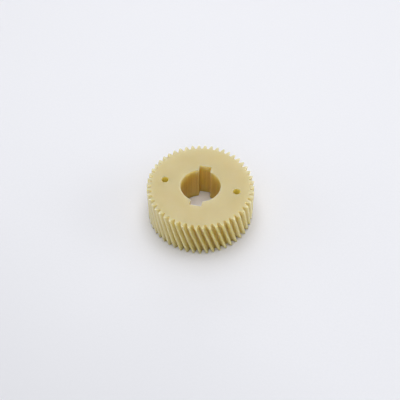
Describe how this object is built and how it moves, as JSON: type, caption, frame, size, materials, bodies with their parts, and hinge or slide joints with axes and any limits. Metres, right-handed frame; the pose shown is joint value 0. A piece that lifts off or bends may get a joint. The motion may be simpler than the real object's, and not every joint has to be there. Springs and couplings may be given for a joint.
{
  "type": "helical gear",
  "caption": "One-piece nylon helical gear with left-hand teeth, a plain bore with two opposite keyways, and two small tapped draw holes in the face.",
  "frame": {"origin": "centre of the bore, on the plane of the gear's lower face", "axes": "+Z along the gear's axis; the two keyways face +Y and -Y, and the two draw holes lie on the X axis"},
  "size_m": [0.0538, 0.0538, 0.021],
  "materials": {
    "nylon": "cream cast nylon as machined: satin, slightly translucent, with fine turning and hobbing marks"
  },
  "bodies": {
    "root": {"gear": "nylon"}
  },
  "joints": []
}
